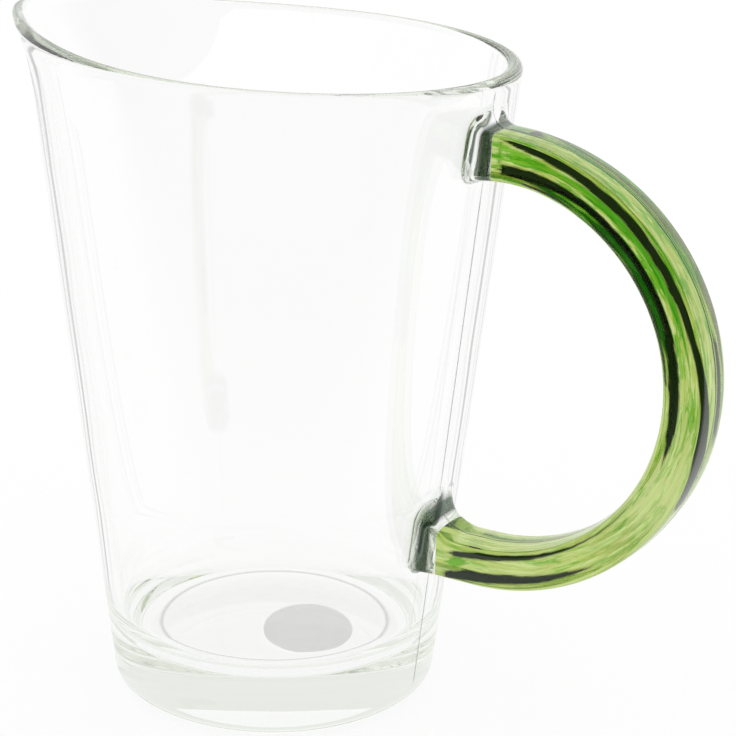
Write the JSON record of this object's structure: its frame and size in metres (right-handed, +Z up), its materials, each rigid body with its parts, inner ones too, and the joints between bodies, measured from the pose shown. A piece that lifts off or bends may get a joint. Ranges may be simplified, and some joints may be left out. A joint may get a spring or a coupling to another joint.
{
  "type": "glass jug",
  "caption": "Clear pressed-glass jug with a conical body, thick base, slanted rim, drawn-out pouring spout and a green glass loop handle.",
  "frame": {"origin": "on the table, under the middle of the jug's overall length and width", "axes": "+Z up, +X from the spout towards the handle, +Y across"},
  "size_m": [0.2272, 0.1362, 0.2001],
  "materials": {
    "clear_glass": "fire-polished, clear",
    "green_glass": "polished, transparent green",
    "sticker": "matt pale grey paper"
  },
  "bodies": {
    "root": {"vessel": "clear_glass", "handle": "green_glass", "base_label": "sticker"}
  },
  "joints": []
}
